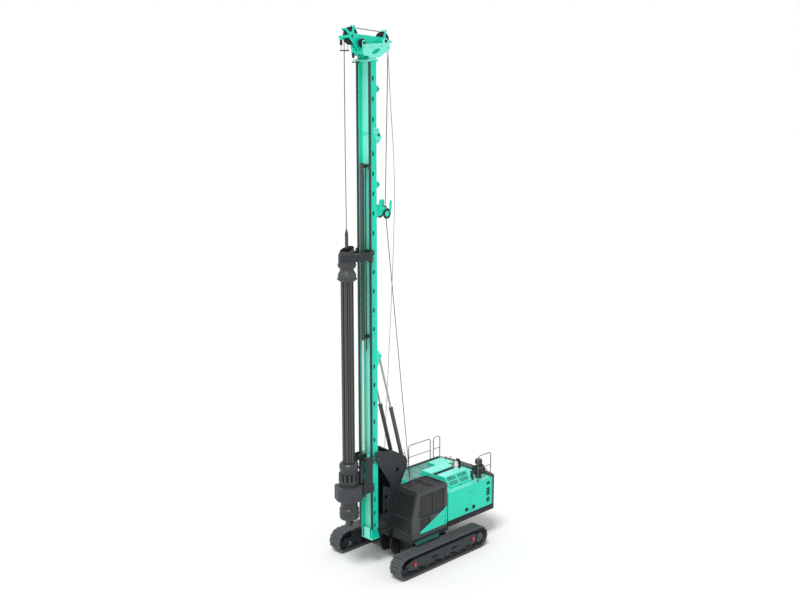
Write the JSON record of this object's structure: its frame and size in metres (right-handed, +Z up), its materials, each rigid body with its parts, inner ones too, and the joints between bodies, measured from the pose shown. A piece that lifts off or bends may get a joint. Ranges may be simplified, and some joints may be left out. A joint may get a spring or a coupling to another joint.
{
  "type": "rotary piling rig",
  "caption": "Crawler-mounted rotary piling rig with tall box mast, telescopic kelly, rotary drive, slewing cab and raking cylinders.",
  "frame": {"origin": "on the ground under the slew axis, midway between the tracks", "axes": "+X to the machine's left, the cab side; -Y to the front, the mast side; +Z up"},
  "size_m": [4, 7.2957, 20.2748],
  "materials": {
    "teal": "gloss paint",
    "charcoal": "satin paint",
    "track_steel": "worn steel",
    "glass": "tinted",
    "seat_fabric": "woven",
    "casting": "rough",
    "grey_tube": "satin paint",
    "black_plastic": "matte",
    "rail_steel": "greased steel",
    "chrome_rod": "polished",
    "kelly_steel": "dark steel"
  },
  "bodies": {
    "undercarriage": {"car_body": "charcoal", "side_frame_left": "charcoal", "side_frame_right": "charcoal", "track_left": "track_steel", "track_right": "track_steel"},
    "upper": {"deck": "charcoal", "cab_shell": "charcoal", "cab_glass": "glass", "cab_guard": "charcoal", "cab_seat": "seat_fabric", "hood": "teal", "engine": "casting", "counterweight": "charcoal", "right_boxes": "teal", "handrails": "grey_tube", "air_cleaner": "black_plastic", "support_frame": "charcoal"},
    "cab_door": {"cab_door": "charcoal", "door_glass": "glass"},
    "door_left_front": {"door_left_front": "teal"},
    "door_left_rear": {"door_left_rear": "teal"},
    "hood_lid": {"hood_lid": "teal"},
    "winch_drum": {"winch_drum": "charcoal"},
    "aux_drum": {"aux_drum": "charcoal"},
    "mast": {"mast_lower": "teal", "rails_lower": "rail_steel", "crowd_barrel": "charcoal"},
    "mast_top": {"mast_top": "teal", "rails_top": "rail_steel", "masthead": "teal"},
    "sheave_front": {"sheave_front": "charcoal"},
    "sheave_rear": {"sheave_rear": "charcoal"},
    "sheave_aux": {"sheave_aux": "charcoal"},
    "sheave_bracket": {"sheave_bracket": "charcoal"},
    "sledge": {"sledge": "charcoal", "gear_case": "charcoal", "crowd_rod": "chrome_rod"},
    "drive": {"drive_sleeve": "charcoal"},
    "kelly_guide": {"kelly_guide": "charcoal"},
    "kelly_outer": {"kelly_outer": "kelly_steel"},
    "kelly_inner": {"kelly_inner": "kelly_steel"},
    "rake_barrel_left": {"rake_barrel_left": "charcoal"},
    "rake_barrel_right": {"rake_barrel_right": "charcoal"},
    "rake_rod_left": {"rake_rod_left": "chrome_rod"},
    "rake_rod_right": {"rake_rod_right": "chrome_rod"}
  },
  "joints": [
    {"name": "slew", "type": "hinge", "parent": "undercarriage", "child": "upper", "pos_m": [0, 0, 1.03], "axis": [0, 0, 1], "continuous": true},
    {"name": "cab_door", "type": "hinge", "parent": "upper", "child": "cab_door", "pos_m": [1.505, 0.496, 2.1], "axis": [0, 0, 1], "range_deg": [0, 90]},
    {"name": "door_left_front", "type": "hinge", "parent": "upper", "child": "door_left_front", "pos_m": [1.505, 0.664, 1.95], "axis": [0, 0, -1], "range_deg": [0, 90]},
    {"name": "door_left_rear", "type": "hinge", "parent": "upper", "child": "door_left_rear", "pos_m": [1.505, 3.246, 1.95], "axis": [0, 0, 1], "range_deg": [0, 90]},
    {"name": "hood_lid", "type": "hinge", "parent": "upper", "child": "hood_lid", "pos_m": [-0.36, 1.68, 2.5503], "axis": [0, -1, 0], "range_deg": [0, 60]},
    {"name": "winch_drum", "type": "hinge", "parent": "upper", "child": "winch_drum", "pos_m": [0, 0.48, 2.08], "axis": [1, 0, 0], "continuous": true},
    {"name": "aux_drum", "type": "hinge", "parent": "upper", "child": "aux_drum", "pos_m": [0, -1.54, 4.28], "axis": [1, 0, 0], "continuous": true},
    {"name": "mast_tilt", "type": "hinge", "parent": "upper", "child": "mast", "pos_m": [0, -2.1, 4.38], "axis": [1, 0, 0], "range_deg": [-15, 5]},
    {"name": "mast_fold", "type": "hinge", "parent": "mast", "child": "mast_top", "pos_m": [0, -1.92, 16.48], "axis": [1, 0, 0], "range_deg": [-110, 0]},
    {"name": "sheave_front", "type": "hinge", "parent": "mast_top", "child": "sheave_front", "pos_m": [0, -2.91, 19.9], "axis": [1, 0, 0], "continuous": true},
    {"name": "sheave_rear", "type": "hinge", "parent": "mast_top", "child": "sheave_rear", "pos_m": [0, -1.4, 19.76], "axis": [1, 0, 0], "continuous": true},
    {"name": "sheave_aux", "type": "hinge", "parent": "mast_top", "child": "sheave_aux", "pos_m": [0.2, -2.56, 19.66], "axis": [1, 0, 0], "continuous": true},
    {"name": "sheave_bracket", "type": "hinge", "parent": "mast", "child": "sheave_bracket", "pos_m": [0, -1.42, 13.75], "axis": [1, 0, 0], "continuous": true},
    {"name": "crowd", "type": "slide", "parent": "mast", "child": "sledge", "axis": [0, 0, 1], "range_m": [-1.2, 4]},
    {"name": "drive_spin", "type": "hinge", "parent": "sledge", "child": "drive", "pos_m": [0, -3.18, 3.3], "axis": [0, 0, 1], "continuous": true},
    {"name": "kelly_lift", "type": "slide", "parent": "mast", "child": "kelly_guide", "axis": [0, 0, 1], "range_m": [-6.2, 4.2]},
    {"name": "kelly_spin", "type": "hinge", "parent": "kelly_guide", "child": "kelly_outer", "pos_m": [0, -3.18, 12.15], "axis": [0, 0, 1], "continuous": true},
    {"name": "kelly_extend", "type": "slide", "parent": "kelly_outer", "child": "kelly_inner", "axis": [0, 0, 1], "range_m": [-9, 0]},
    {"name": "rake_barrel_left", "type": "hinge", "parent": "upper", "child": "rake_barrel_left", "pos_m": [0.29, -0.62, 3.86], "axis": [1, 0, 0], "range_deg": [-12.6, 4.4]},
    {"name": "rake_rod_left", "type": "slide", "parent": "rake_barrel_left", "child": "rake_rod_left", "axis": [0, -0.2712, 0.9625], "range_m": [-0.36, 0.13]},
    {"name": "rake_barrel_right", "type": "hinge", "parent": "upper", "child": "rake_barrel_right", "pos_m": [-0.29, -0.62, 3.86], "axis": [1, 0, 0], "range_deg": [-12.6, 4.4]},
    {"name": "rake_rod_right", "type": "slide", "parent": "rake_barrel_right", "child": "rake_rod_right", "axis": [0, -0.2712, 0.9625], "range_m": [-0.36, 0.13]}
  ],
  "couplings": [
    {"joint": "drive_spin", "follows": "kelly_spin", "ratio": 1},
    {"joint": "rake_barrel_left", "follows": "mast_tilt", "ratio": 0.825},
    {"joint": "rake_rod_left", "follows": "mast_tilt", "m_per_rad": 1.33},
    {"joint": "rake_barrel_right", "follows": "mast_tilt", "ratio": 0.825},
    {"joint": "rake_rod_right", "follows": "mast_tilt", "m_per_rad": 1.33}
  ]
}
